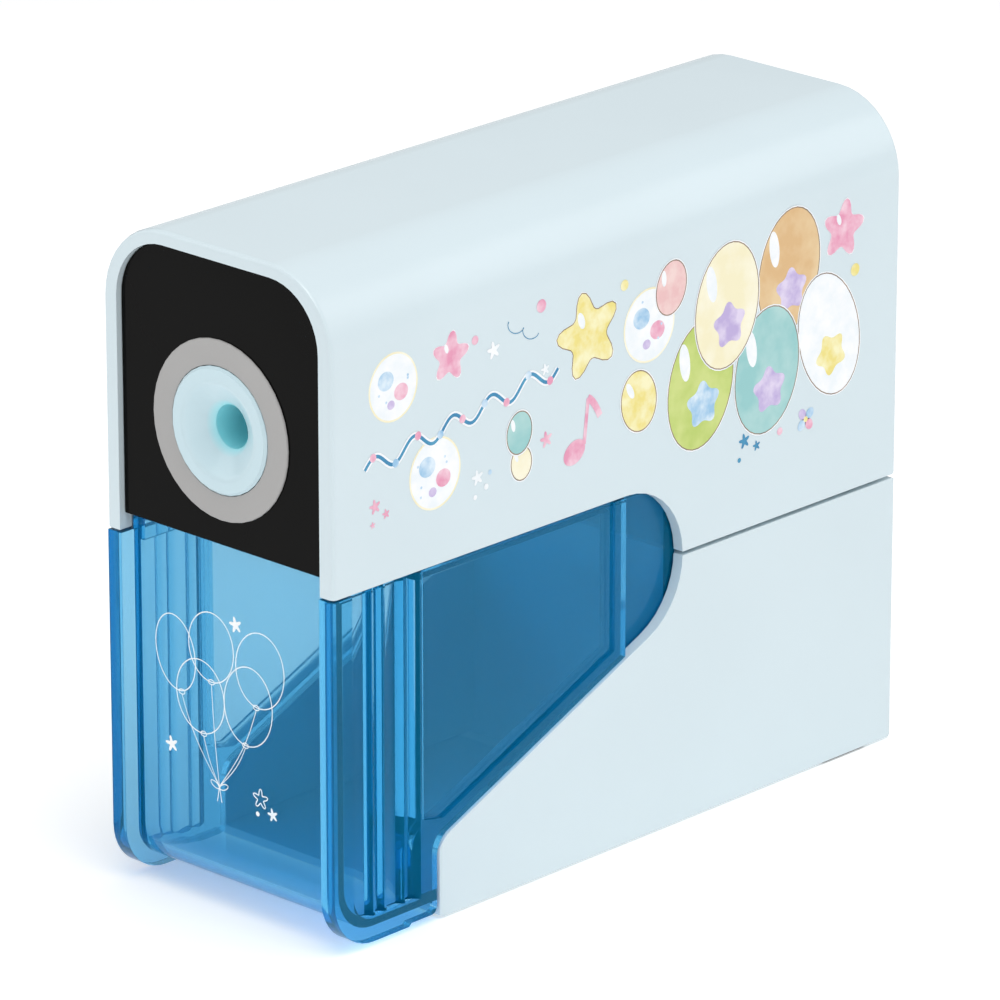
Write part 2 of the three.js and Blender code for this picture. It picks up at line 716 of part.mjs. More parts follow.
// Grip recess as a solid: the fluted section run upwards, within the outline seen from the side.
function gripRecess(sign, surfaceX) {
  const steps = 30;
  const shape = new THREE.Shape();
  shape.moveTo(sign * (surfaceX + 1), FRONT_Y + GRIP_BAND);
  for (let i = 0; i <= steps; i += 1) {
    const back = (i / steps) * GRIP_LENGTH;
    shape.lineTo(sign * (surfaceX - gripDepth(back)), FRONT_Y + GRIP_BAND + back);
  }
  shape.lineTo(sign * (surfaceX + 1), FRONT_Y + GRIP_BAND + GRIP_LENGTH);
  shape.closePath();
  const fluted = prismZ(shape, [CHEEK_BASE_Z, SKIRT_Z + 2]);
  return fluted.intersect(prismX(gripOutline(), onSide(sign, 0, HALF + 1)));
}

// Field inside the rim of the cheek, from the grip back to the rim's rear end.
function fieldOutline(rim, topZ) {
  const { slopeZ } = windowCorners(SLIDE_GAP + rim);
  const front = FRONT_Y + GRIP_BAND + GRIP_LENGTH + 0.8;
  const rear = WINDOW_CENTRE_Y - rim;
  const toe = Math.max(front, BODY_FRONT_Y - SLIDE_GAP) + 1.5;
  return outline([
    [front, topZ],
    [front, slopeZ(toe) + 1],
    [toe, slopeZ(toe), 1.5],
    [rear, slopeZ(rear)],
    [rear, topZ],
  ]);
}

function shavingsDrawer() {
  const cheekOuter = HALF - 0.2;
  const tubHalf = INNER - FIT;
  const neckHalf = HALF - RIM_SIDE - SLIDE_GAP;
  const { top } = windowCorners(SLIDE_GAP);
  const below = block([-HALF, HALF], [FRONT_Y - 1, REAR_Y], [0, top]);
  let drawer = join(
    prismX(tubOutline(0, 0), [-tubHalf, tubHalf], 4).intersect(below),
    prismX(tubOutline(0, 0), [-neckHalf, neckHalf], 4),
    prismX(cheekOutline(), [-cheekOuter, -tubHalf + 1], 5),
    prismX(cheekOutline(), [tubHalf - 1, cheekOuter], 5),
  );
  const cavityTop = block([-HALF, HALF], [FRONT_Y, REAR_Y], [0, top - 2]);
  const inner = tubHalf - DRAWER_WALL;
  drawer = cut(
    drawer,
    prismX(tubOutline(DRAWER_WALL, 1), [-inner, inner], 4).intersect(cavityTop),
    prismX(tubOutline(DRAWER_WALL, 1), [DRAWER_WALL - neckHalf, neckHalf - DRAWER_WALL], 4),
  );
  for (const sign of [-1, 1]) {
    const skin = cheekOuter - DRAWER_WALL;
    drawer = cut(
      drawer,
      prismX(fieldOutline(PANEL_RIM, top - 2), onSide(sign, inner - 1, skin)),
      prismX(fieldOutline(PANEL_RIM, SKIRT_Z + 1), onSide(sign, cheekOuter - PANEL_SINK, HALF + 1)),
      gripRecess(sign, cheekOuter),
    );
  }
  return drawer;
}

// ---- Chassis ------------------------------------------------------------------------------

function chassisPlate(y) {
  const half = INNER - FIT;
  const top = HEIGHT - WALL - FIT;
  return prismY(arch(half, CHASSIS_FLOOR_Z, top, TOP_RADIUS - WALL), [y, y + PLATE], 3);
}

// One moulding: front bulkhead, side rails, gearbox plates, and a tray that keeps dust off the motor.
function gearChassis() {
  const half = INNER - FIT;
  const rearPlateY = GEARBOX_Y + GEARBOX_LENGTH - PLATE;
  const trayEnd = MOTOR_Y + MOTOR_LENGTH + 6;
  const floorTop = CHASSIS_FLOOR_Z + CHASSIS_FLOOR;
  let chassis = join(
    chassisPlate(BULKHEAD_Y),
    chassisPlate(GEARBOX_Y),
    chassisPlate(rearPlateY),
    block([-half, half], [GEARBOX_Y, trayEnd], [CHASSIS_FLOOR_Z, floorTop]),
  );
  for (const sign of [-1, 1]) {
    const rail = onSide(sign, half - 1.8, half);
    chassis = join(
      chassis,
      block(rail, [BULKHEAD_Y, rearPlateY], [PENCIL_Z - 14, PENCIL_Z + 14]),
      block(rail, [GEARBOX_Y, trayEnd], [CHASSIS_FLOOR_Z, floorTop + 6]),
    );
  }
  for (const back of [8, 24]) {
    const cradle = [MOTOR_Y + back, MOTOR_Y + back + 2];
    chassis = join(chassis, block([-17, 17], cradle, [CHASSIS_FLOOR_Z, MOTOR_Z - 1]));
  }
  return cut(
    chassis,
    rodY(15, [BULKHEAD_Y - 1, BULKHEAD_Y + PLATE + 1], 0, PENCIL_Z, 32),
    rodY(BUSH_RADIUS + SEAT, [GEARBOX_Y - 1, GEARBOX_Y + PLATE + 1], 0, PENCIL_Z),
    rodY(AXLE_RADIUS + SEAT, [GEARBOX_Y - 1, MOTOR_Y + 1], 0, WHEEL_Z, 16),
    rodY(MOTOR_BEARING + SEAT, [rearPlateY - 1, MOTOR_Y + 1], 0, MOTOR_Z),
    rodY(MOTOR_RADIUS + 0.3, [MOTOR_Y, MOTOR_Y + MOTOR_LENGTH + 4], 0, MOTOR_Z, 32),
    ...screwHoles(),
  );
}

function screwHoles() {
  return CHASSIS_SCREW_Y.flatMap((y) => {
    const through = [y - PLATE - 1, y + 1];
    return [-1, 1].map((sign) => rodY(SCREW.clear, through, sign * CHASSIS_SCREW_X, CHASSIS_SCREW_Z, 12));
  });
}

// Cross-head screw along +Y with its head's underside at Y = 0.
function screw(length, head) {
  const body = turned([
    [0, -head],
    [SCREW.head - 0.8, -head],
    [SCREW.head, 0],
    [SCREW.shank, 0],
    [SCREW.shank, length - 1],
    [0, length],
  ], 12);
  const recess = [-head - 1, -head / 2];
  return cut(
    body,
    block([-0.4, 0.4], recess, [-1.5, 1.5]),
    block([-1.5, 1.5], recess, [-0.4, 0.4]),
  );
}

function addScrews(parent) {
  const chassisScrew = screw(CHASSIS_SCREW_LENGTH, CHASSIS_SCREW_HEAD);
  ["front", "rear"].forEach((end, i) => {
    both(parent, `chassis_screw_${end}`, (to, name, sign) => {
      const y = CHASSIS_SCREW_Y[i] - PLATE - 2 * SEAT;
      addPart(to, name, chassisScrew, zinc, [sign * CHASSIS_SCREW_X, y, CHASSIS_SCREW_Z]);
    });
  });
  const caseScrew = screw(CASE_SCREW_LENGTH, CASE_SCREW_HEAD - SEAT);
  both(parent, "case_screw", (to, name, sign) => {
    const place = [sign * CASE_SCREW_X, REAR_Y - CASE_SCREW_HEAD, CASE_SCREW_Z];
    addPart(to, name, caseScrew, zinc, place).rotation.z = Math.PI;
  });
}

// ---- Cutter head --------------------------------------------------------------------------

// Fixed ring: internal teeth in front, and behind them a plain collar that the head turns in.
function ringGear() {
  const outer = pitchRadius(RING) + 4.3;
  const body = rodY(outer, [0, RING_LENGTH], 0, 0, 40);
  const teeth = gearOutline(RING, { tip: 1.15, root: 0.7, play: -TOOTH_PLAY });
  return cut(
    body,
    prismY(teeth, [-1, RING_TEETH + 1], 1),
    rodY(CARRIER_RADIUS + FIT, [RING_TEETH, RING_LENGTH + 1], 0, 0, 40),
  );
}

// Cutter-axis frame: local Y runs back along the tilted pin from the planet's middle.
function tilted(solid) {
  const tilt = THREE.MathUtils.radToDeg(-CUTTER_TILT);
  return solid.rotate([tilt, 0, 0]).translate([0, PLANET_Y, PLANET_OFFSET]);
}

function cutterCarrier() {
  const bars = [-1, 1].map((sign) => block(onSide(sign, 9, 13), [DISC_Y, REAR_DISC_END_Y], [-8, -2]));
  const carrier = join(
    rodY(CARRIER_RADIUS, [DISC_Y, DISC_Y + CARRIER_DISC], 0, 0, 40),
    rodY(REAR_DISC.radius, [REAR_DISC_Y, REAR_DISC_END_Y], 0, 0, 32),
    rodY(HUB_RADIUS, [REAR_DISC_END_Y - 1, HUB_END_Y], 0, 0, 24),
    ...bars,
  );
  return cut(
    carrier,
    rodY(THROAT_RADIUS + 0.6, [DISC_Y - 1, DISC_Y + CARRIER_DISC + 1], 0, 0, 24),
    rodY(4, [DISC_Y - 1, DISC_Y + CARRIER_DISC + 1], 0, -12.5, 16),
    tilted(rodY(SLEEVE_RADIUS + FIT, [0, 10], 0, 0, 20)),
    tilted(rodY(PIN_RADIUS + SEAT, [0, PIN_END], 0, 0, 16)),
  );
}

// Milling cutter: ratchet-shaped blades that wind along the pin, on a sleeve that joins the planet.
function helicalCutter() {
  const pitch = (2 * Math.PI) / CUTTER_TEETH;
  const ratchet = [
    [CUTTER_RADIUS, 0],
    [CUTTER_RADIUS - 1.2, 0.22],
    [CUTTER_RADIUS - 0.35, 0.8],
  ];
  const points = [];
  for (let blade = 0; blade < CUTTER_TEETH; blade += 1) {
    for (const [radius, share] of ratchet) {
      const angle = (blade + share) * pitch;
      points.push(new THREE.Vector2(radius * Math.cos(angle), radius * Math.sin(angle)));
    }
  }
  const blades = new THREE.ExtrudeGeometry(new THREE.Shape(points), {
    depth: CUTTER_LENGTH,
    steps: 8,
    bevelEnabled: false,
  });
  const place = blades.attributes.position;
  for (let i = 0; i < place.count; i += 1) {
    const point = new THREE.Vector3().fromBufferAttribute(place, i);
    point.applyAxisAngle(new THREE.Vector3(0, 0, 1), (point.z / CUTTER_LENGTH) * CUTTER_TWIST);
    place.setXYZ(i, point.x, point.y, point.z);
  }
  blades.rotateX(Math.PI / 2).translate(0, CUTTER_TO, 0);
  return cut(
    join(solidOf(blades), rodY(SLEEVE_RADIUS, [PLANET_FACE[1] + SEAT, CUTTER_FROM + 1], 0, 0, 20)),
    rodY(PIN_RADIUS + FIT, [0, CUTTER_TO + 1], 0, 0, 16),
  );
}

function planetPinion() {
  return cut(
    prismY(gearOutline(PLANET), PLANET_FACE, 1),
    rodY(PIN_RADIUS + FIT, [PLANET_FACE[0] - 1, PLANET_FACE[1] + 1], 0, 0, 16),
  );
}

function cutterPin() {
  const head = PLANET_FACE[0] - SEAT;
  return join(
    rodY(PIN_RADIUS, [head - 0.4, PIN_END - SEAT], 0, 0, 16),
    rodY(PIN_RADIUS + 1, [head - 0.9, head - SEAT], 0, 0, 16),
  );
}

function addHead(parent) {
  const axis = new THREE.Group();
  axis.position.z = PENCIL_Z;
  parent.add(axis);
  addPart(axis, "ring_gear", ringGear(), greyNylon, [0, RING_Y, 0]);
  addPart(axis, "cutter_carrier", cutterCarrier(), zinc);
  addPart(axis, "carrier_gear", carrierGear(), whiteNylon, [0, CARRIER_GEAR_Y, 0]);
  addPart(axis, "carrier_bush", carrierBush(), brass, [0, GEARBOX_Y, 0]);
  const pin = new THREE.Group();
  pin.position.set(0, PLANET_Y, PLANET_OFFSET);
  pin.rotation.x = -CUTTER_TILT;
  axis.add(pin);
  addPart(pin, "helical_cutter", helicalCutter(), steel);
  addPart(pin, "planet_pinion", planetPinion(), brass);
  addPart(pin, "cutter_pin", cutterPin(), zinc);
}

function carrierGear() {
  return cut(
    prismY(gearOutline(CARRIER_GEAR), [0, CARRIER_GEAR_WIDTH], 1),
    rodY(HUB_RADIUS + SEAT, [-1, CARRIER_GEAR_WIDTH + 1], 0, 0, 24),
  );
}

function carrierBush() {
  const bore = HUB_RADIUS + 0.3;
  return turned([
    [bore, -1.2],
    [BUSH_FLANGE, -1.2],
    [BUSH_FLANGE, -SEAT],
    [BUSH_RADIUS, -SEAT],
    [BUSH_RADIUS, PLATE + 0.6],
    [bore, PLATE + 0.6],
  ], 20);
}

// ---- Gear train and motor -----------------------------------------------------------------

// Two wheels in one moulding; the small one is half a pitch round, to meet the carrier gear.
function compoundGear() {
  const from = CARRIER_GEAR_Y - 0.6;
  const largeEnd = LARGE_WHEEL_Y + LARGE_WHEEL_WIDTH;
  const large = prismY(gearOutline(LARGE_WHEEL), [LARGE_WHEEL_Y, largeEnd], 1);
  const small = prismY(gearOutline(SMALL_WHEEL), [from, LARGE_WHEEL_Y + 1], 1);
  const hub = rodY(2 * AXLE_RADIUS, [LARGE_WHEEL_Y, largeEnd + 2], 0, 0, 20);
  return cut(
    join(large, small.rotate([0, 180 / SMALL_WHEEL.teeth, 0]), hub),
    rodY(AXLE_RADIUS + 0.3, [from - 1, MOTOR_Y], 0, 0, 16),
  );
}

function motorCan() {
  const round = 1.6;
  const bore = MOTOR_SHAFT + 0.65;
  return turned([
    [bore, -1.8],
    [MOTOR_BEARING, -1.8],
    [MOTOR_BEARING, 0],
    [MOTOR_RADIUS - round, 0],
    [MOTOR_RADIUS, round],
    [MOTOR_RADIUS, MOTOR_LENGTH],
    [bore, MOTOR_LENGTH],
  ], 28);
}

function motorEndCap() {
  const cap = turned([
    [1.8, 0],
    [MOTOR_RADIUS - 1, 0],
    [MOTOR_RADIUS - 1, 2.4],
    [4.5, 3],
    [4, 4.4],
    [0, 4.4],
    [0, 3],
    [1.8, 3],
  ]);
  const tags = [-1, 1].map((sign) => block([sign * 9 - 1.2, sign * 9 + 1.2], [2, 7], [-0.4, 0.4]));
  return join(cap, ...tags);
}

function addDrive(parent) {
  const wheel = new THREE.Group();
  wheel.position.z = WHEEL_Z;
  const motor = new THREE.Group();
  motor.position.set(0, MOTOR_Y, MOTOR_Z);
  parent.add(wheel, motor);
  addPart(wheel, "compound_gear", compoundGear(), whiteNylon);
  addPart(wheel, "gear_axle", rodY(AXLE_RADIUS, [GEARBOX_Y + FIT, MOTOR_Y - FIT], 0, 0, 16), steel);
  addPart(motor, "motor_can", motorCan(), zinc);
  addPart(motor, "motor_end_cap", motorEndCap(), blackPlastic, [0, MOTOR_LENGTH + SEAT, 0]);
  const shaftFront = HUB_END_Y + FIT - MOTOR_Y;
  addPart(motor, "motor_shaft", rodY(MOTOR_SHAFT, [shaftFront, MOTOR_LENGTH + 2], 0, 0, 16), steel);
  const pinion = cut(
    prismY(gearOutline(MOTOR_PINION), [0, LARGE_WHEEL_WIDTH + 1.4], 1),
    rodY(MOTOR_SHAFT + SEAT, [-1, LARGE_WHEEL_WIDTH + 3], 0, 0, 12),
  );
  const mesh = addPart(motor, "motor_pinion", pinion, brass, [0, LARGE_WHEEL_Y - FIT - MOTOR_Y, 0]);
  mesh.rotation.y = Math.PI / MOTOR_PINION.teeth;
}

// ---- Cells, contacts and door -------------------------------------------------------------

function cellY(index) {
  return BAY_FRONT_Y + FIT + (index + 0.5) * CELL_PITCH;
}

// Cell about its own Y axis with the positive nub at +Y.
function cell() {
  const half = CELL_LENGTH / 2;
  const shoulder = half - CELL_NUB_LENGTH;
  return turned([
    [0, -half],
    [CELL_RADIUS - 1, -half],
    [CELL_RADIUS, 1 - half],
    [CELL_RADIUS, shoulder - 0.8],
    [CELL_RADIUS - 0.8, shoulder],
    [CELL_NUB_RADIUS, shoulder],
    [CELL_NUB_RADIUS, half],
    [0, half],
  ], 16);
}

// Conical end spring, wound about Y.
function endSpring() {
  const path = new THREE.CatmullRomCurve3(
    Array.from({ length: 13 }, (_, i) => {
      const t = i / 12;
      const radius = THREE.MathUtils.lerp(SPRING.wide, SPRING.narrow, t);
      const angle = t * SPRING.turns * 2 * Math.PI;
      const y = 0.35 + t * (CONTACT_REACH - 0.7);
      return new THREE.Vector3(radius * Math.cos(angle), y, radius * Math.sin(angle));
    }),
  );
  const wire = new THREE.Shape().absarc(0, 0, SPRING.wire, 0, 2 * Math.PI);
  return solidOf(new THREE.ExtrudeGeometry(wire, { extrudePath: path, steps: 14, curveSegments: 2 }));
}

// Flat contact on the bay's end wall; it spans the cells it links.
function contact(sign, first, last) {
  const x = onSide(sign, CONTACT_X, CONTACT_X + CONTACT_THICK);
  return block(x, [cellY(first) - 5, cellY(last) + 5], [CELL_Z - 5, CELL_Z + 5]);
}

function addPower(parent) {
  for (let i = 0; i < CELL_COUNT; i += 1) {
    const sign = i % 2 ? -1 : 1;
    const turn = (-sign * Math.PI) / 2;
    addPart(parent, `aa_cell_${i + 1}`, cell(), cellJacket, [0, cellY(i), CELL_Z]).rotation.z = turn;
    const place = [-sign * CONTACT_X, cellY(i), CELL_Z];
    addPart(parent, `cell_spring_${i + 1}`, endSpring(), zinc, place).rotation.z = turn;
  }
  addPart(parent, "contact_left_front", contact(-1, 0, 1), zinc);
  addPart(parent, "contact_left_rear", contact(-1, 2, 3), zinc);
  addPart(parent, "contact_right_front", contact(1, 0, 0), zinc);
  addPart(parent, "contact_right_middle", contact(1, 1, 2), zinc);
  addPart(parent, "contact_right_rear", contact(1, 3, 3), zinc);
  addPart(parent, "battery_door", batteryDoor(), paleBlue);
}

// Door in the base: two hooks over the rear sill, a finger notch in front and an arrow cut in the face.
function batteryDoor() {
  const [front, rear] = DOOR_Y;
  const plate = block([-DOOR_HALF, DOOR_HALF], [front, rear], [BASE_Z, DOOR_TOP_Z]);
  const hooks = [-1, 1].map((sign) => {
    const x = [sign * 15 - 4, sign * 15 + 4];
    return join(
      block(x, [rear - 2, rear - 0.6], [DOOR_TOP_Z - 1, DOOR_TOP_Z + 1.5]),
      block(x, [rear - 2, rear + 0.9], [DOOR_TOP_Z + 0.6, DOOR_TOP_Z + 1.5]),
    );
  });
  const notch = rodZ(9, [BASE_Z - 1, BASE_Z + 1.1], 0, front + 1, 24);
  const arrow = outline([
    [-5, front + 22],
    [0, front + 16],
    [5, front + 22],
  ]);
  return cut(join(plate, ...hooks), notch, prismZ(arrow, [BASE_Z - 1, BASE_Z + 0.4]));
}

// ---- Assembly -----------------------------------------------------------------------------

const sharpener = new THREE.Group();
sharpener.name = "pencil_sharpener";
addPart(sharpener, "upper_casing", upperCasing(), paleBlue);
addPart(sharpener, "lower_body", lowerBody(), paleBlue);
addFeet(sharpener);
addEntry(sharpener);
addSwitch(sharpener);
addPart(sharpener, "shavings_drawer", shavingsDrawer(), clearBlue);
addPart(sharpener, "gear_chassis", gearChassis(), greyNylon);
addScrews(sharpener);
addHead(sharpener);
addDrive(sharpener);
addPower(sharpener);

export default sharpener;
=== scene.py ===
# Looks of the battery pencil sharpener: glossy pale casing, black panel, clear blue drawer, prints.
import json
import math
import random

import bmesh
import bpy
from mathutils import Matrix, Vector


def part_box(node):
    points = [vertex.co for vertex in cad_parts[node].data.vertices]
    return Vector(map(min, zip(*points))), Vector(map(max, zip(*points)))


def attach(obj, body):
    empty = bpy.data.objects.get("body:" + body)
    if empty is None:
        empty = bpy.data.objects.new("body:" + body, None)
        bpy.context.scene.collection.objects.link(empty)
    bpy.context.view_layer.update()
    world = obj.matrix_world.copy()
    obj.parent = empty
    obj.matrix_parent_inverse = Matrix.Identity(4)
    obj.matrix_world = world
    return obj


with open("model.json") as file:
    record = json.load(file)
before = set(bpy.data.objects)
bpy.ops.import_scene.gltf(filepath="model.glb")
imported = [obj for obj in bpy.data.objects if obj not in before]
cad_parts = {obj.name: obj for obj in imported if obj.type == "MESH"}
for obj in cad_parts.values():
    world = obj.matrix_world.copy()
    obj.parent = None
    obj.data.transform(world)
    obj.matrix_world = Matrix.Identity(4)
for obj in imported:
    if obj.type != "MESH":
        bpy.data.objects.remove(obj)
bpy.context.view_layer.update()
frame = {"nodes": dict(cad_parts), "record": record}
MM = 0.001
scene = bpy.context.scene
nodes = frame["nodes"]

casing_low, casing_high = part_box("upper_casing")
FRONT = casing_low.y
SIDE = casing_high.x
FACE_SETBACK = 3 * MM  # the drawer's face stands this far behind the front of its cheeks
DRAWER_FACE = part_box("shavings_drawer")[0].y + FACE_SETBACK

CAMERA_AZIMUTH = math.radians(43.45)
CAMERA_ELEVATION = math.radians(19.68)
CAMERA_AIM = Vector((-0.003, 0, 0.06319))
CAMERA_DISTANCE = 1.51898
LENS, SENSOR = 281.65, 36  # millimetres
CLIP_START, CLIP_END = 0.1, 20

WORLD_STRENGTH = 0.5
LIGHTS_AIM = (0, 0, 0.07)
LIGHTS = (  # name, place, size, watts
    ("key", (0.3, -0.2, 1.05), (0.7, 0.7), 6),
    ("fill", (-0.7, -0.7, 0.45), (0.6, 0.8), 1.4),
    ("rear", (0.5, 0.8, 0.6), (0.6, 0.6), 1.2),
)
FLOOR_REACH = 4
FLOOR_WHITE = 0.95
FLOOR_ROUGHNESS = 0.9
FLOOR_GLOW = 0.28

GRAIN_DEPTH = 0.1 * MM
DRAWER_IOR = 1.42
DRAWER_SHEEN = (0.06, 0.5, 1, 1)
DRAWER_ABSORPTION = (0.1, 0.64, 0.845, 1)
DRAWER_DENSITY = 340  # per metre
DRAWER_BODY_SHARE = 0.24
DRAWER_WAVE_DEPTH = 0.4 * MM
# painted shade: the teal that the guide turns to down its throat stands in for the shadow inside the
# bore
THROAT_PAINTED_SHADE = (0.38, 0.92, 1, 1)
THROAT_SHADE_FROM, THROAT_SHADE_TO = 2.6 * MM, 4.5 * MM  # how far in the guide the painted shade turns it from pale to teal
PANEL_SHINE = 0.06

WELD_REACH = 0.001 * MM
FLAT_ANGLE = math.radians(0.5)
EDGE_WIDTH = 0.25 * MM
EDGE_SEGMENTS = 2
EDGE_ANGLE = math.radians(32)


# ---- Camera, light, floor -----------------------------------------------------------------

def add_camera():
    back = Vector((
        math.sin(CAMERA_AZIMUTH) * math.cos(CAMERA_ELEVATION),
        -math.cos(CAMERA_AZIMUTH) * math.cos(CAMERA_ELEVATION),
        math.sin(CAMERA_ELEVATION),
    ))
    data = bpy.data.cameras.new("camera")
    data.lens = LENS
    data.sensor_width = SENSOR
    data.clip_start, data.clip_end = CLIP_START, CLIP_END
    camera = bpy.data.objects.new("camera", data)
    camera.location = CAMERA_AIM + back * CAMERA_DISTANCE
    camera.rotation_mode = "QUATERNION"
    camera.rotation_quaternion = (-back).to_track_quat("-Z", "Y")
    scene.collection.objects.link(camera)
    scene.camera = camera


def add_area(name, location, size, watts):
    data = bpy.data.lights.new(name, "AREA")
    data.shape = "RECTANGLE"
    data.size, data.size_y = size
    data.energy = watts
    light = bpy.data.objects.new(name, data)
    light.location = location
    light.rotation_mode = "QUATERNION"
    light.rotation_quaternion = (Vector(LIGHTS_AIM) - Vector(location)).to_track_quat("-Z", "Y")
    scene.collection.objects.link(light)


def add_studio():
    world = bpy.data.worlds.new("studio")
    scene.world = world
    world.use_nodes = True
    background = world.node_tree.nodes["Background"]
    background.inputs["Color"].default_value = (1, 1, 1, 1)
    background.inputs["Strength"].default_value = WORLD_STRENGTH
    scene.view_settings.view_transform = "Standard"
    for light in LIGHTS:
        add_area(*light)
    floor = bpy.data.meshes.new("floor")
    corners = [(x * FLOOR_REACH, y * FLOOR_REACH, 0) for x, y in ((-1, -1), (1, -1), (1, 1), (-1, 1))]
    floor.from_pydata(corners, [], [(0, 1, 2, 3)])
    piece = bpy.data.objects.new("floor", floor)
    scene.collection.objects.link(piece)
    material, bsdf = new_material("floor_paper")
    bsdf.inputs["Base Color"].default_value = (FLOOR_WHITE, FLOOR_WHITE, FLOOR_WHITE, 1)
    bsdf.inputs["Roughness"].default_value = FLOOR_ROUGHNESS
    bsdf.inputs["Emission Color"].default_value = (1, 1, 1, 1)
    bsdf.inputs["Emission Strength"].default_value = FLOOR_GLOW
    floor.materials.append(material)


# ---- Materials ----------------------------------------------------------------------------

def new_material(name):
    material = bpy.data.materials.new(name)
    material.use_nodes = True
    return material, material.node_tree.nodes["Principled BSDF"]


def linear(r, g, b):
    """Scene colour of an sRGB colour given in 0 to 255."""
    return tuple(((c / 255 + 0.055) / 1.055) ** 2.4 if c > 10 else c / 3294.6 for c in (r, g, b)) + (1,)


class Nodes:
    """Short names for the few node patterns the materials share; all run in object coordinates."""

    def __init__(self, material):
        self.tree = material.node_tree
        self.coords = self.tree.nodes.new("ShaderNodeTexCoord").outputs["Object"]

    def link(self, a, b):
        self.tree.links.new(a, b)

    def noise(self, scale, detail=3, roughness=0.5):
        node = self.tree.nodes.new("ShaderNodeTexNoise")
        node.inputs["Scale"].default_value = scale
        node.inputs["Detail"].default_value = detail
        node.inputs["Roughness"].default_value = roughness
        self.link(self.coords, node.inputs["Vector"])
        return node.outputs["Fac"]

    def ramp(self, value, stops):
        node = self.tree.nodes.new("ShaderNodeValToRGB")
        elements = node.color_ramp.elements
        while len(elements) < len(stops):
            elements.new(0.5)
        for element, (position, colour) in zip(elements, stops):
            element.position = position
            element.color = colour
        self.link(value, node.inputs["Fac"])
        return node.outputs["Color"]

    def spread(self, value, low, high, source=(0.3, 0.7)):
        node = self.tree.nodes.new("ShaderNodeMapRange")
        node.inputs["From Min"].default_value, node.inputs["From Max"].default_value = source
        node.inputs["To Min"].default_value, node.inputs["To Max"].default_value = low, high
        self.link(value, node.inputs["Value"])
        return node.outputs["Result"]

    def bump(self, value, strength, depth, bsdf):
        node = self.tree.nodes.new("ShaderNodeBump")
        node.inputs["Strength"].default_value = strength
        node.inputs["Distance"].default_value = depth
        self.link(value, node.inputs["Height"])
        self.link(node.outputs["Normal"], bsdf.inputs["Normal"])


def shade(colour, factor):
    return tuple(min(1, c * factor) for c in colour[:3]) + (1,)


def moulded(name, colour, roughness=0.3, variation=0.03, grain=0.02, patchiness=0.15,
            grain_scale=2600):
    """Moulded plastic: slow colour drift, patchy gloss and a fine mould grain."""
    material, bsdf = new_material(name)
    n = Nodes(material)
    drift = n.noise(28, 2)
    n.link(n.ramp(drift, [(0.35, shade(colour, 1 - variation)), (0.65, shade(colour, 1 + variation))]),
           bsdf.inputs["Base Color"])
    n.link(n.spread(n.noise(60, 2), roughness * (1 - patchiness), roughness * (1 + patchiness)),
           bsdf.inputs["Roughness"])
    n.bump(n.noise(grain_scale, 2), grain, GRAIN_DEPTH, bsdf)
    return material


def metal(name, colour, roughness, scratch=0.15):
    """Bare metal with slow cloudiness and fine scratches."""
    material, bsdf = new_material(name)
    n = Nodes(material)
    bsdf.inputs["Metallic"].default_value = 1
    n.link(n.ramp(n.noise(140, 3), [(0.3, shade(colour, 0.94)), (0.7, shade(colour, 1.05))]),
           bsdf.inputs["Base Color"])
    n.link(n.spread(n.noise(400, 5), roughness * 0.85, roughness * 1.15), bsdf.inputs["Roughness"])
    n.bump(n.noise(1800, 3), scratch, GRAIN_DEPTH, bsdf)
    return material


def clear_blue():
    """Clear tinted styrene. The tint is absorption, so a thick edge comes out deep and a thin wall
    light. A share of each outer surface scatters, which gives the moulding its body colour, and
    lamps shine through it."""
    material, clear = new_material("drawer_clear_blue")
    n = Nodes(material)
    new = n.tree.nodes.new
    wash = [(0.35, (0.95, 0.98, 1, 1)), (0.65, (0.98, 1, 1, 1))]
    n.link(n.ramp(n.noise(22, 2), wash), clear.inputs["Base Color"])
    clear.inputs["Transmission Weight"].default_value = 1
    body = new("ShaderNodeBsdfPrincipled")
    blues = [(0.35, (0, 0.38, 0.76, 1)), (0.65, (0, 0.43, 0.84, 1))]
    n.link(n.ramp(n.noise(30, 2), blues), body.inputs["Base Color"])
    gloss = n.spread(n.noise(120, 3), 0.015, 0.05)
    for shader in (clear, body):
        shader.inputs["IOR"].default_value = DRAWER_IOR
        shader.inputs["Specular Tint"].default_value = DRAWER_SHEEN
        n.link(gloss, shader.inputs["Roughness"])
        n.bump(n.noise(60, 2), 0.02, DRAWER_WAVE_DEPTH, shader)
    inside = new("ShaderNodeNewGeometry").outputs["Backfacing"]
    tinted = new("ShaderNodeMixShader")
    n.link(n.spread(inside, DRAWER_BODY_SHARE, 0, (0, 1)), tinted.inputs["Fac"])
    n.link(clear.outputs["BSDF"], tinted.inputs[1])
    n.link(body.outputs["BSDF"], tinted.inputs[2])
    output = n.tree.nodes["Material Output"]
    volume = new("ShaderNodeVolumeAbsorption")
    volume.inputs["Color"].default_value = DRAWER_ABSORPTION
    volume.inputs["Density"].default_value = DRAWER_DENSITY
    n.link(volume.outputs["Volume"], output.inputs["Volume"])
    passing = new("ShaderNodeBsdfTransparent")
    passing.inputs["Color"].default_value = (0.85, 0.95, 1, 1)
    mix = new("ShaderNodeMixShader")
    n.link(new("ShaderNodeLightPath").outputs["Is Shadow Ray"], mix.inputs["Fac"])
    n.link(tinted.outputs["Shader"], mix.inputs[1])
    n.link(passing.outputs["BSDF"], mix.inputs[2])
    n.link(mix.outputs["Shader"], output.inputs["Surface"])
    return material


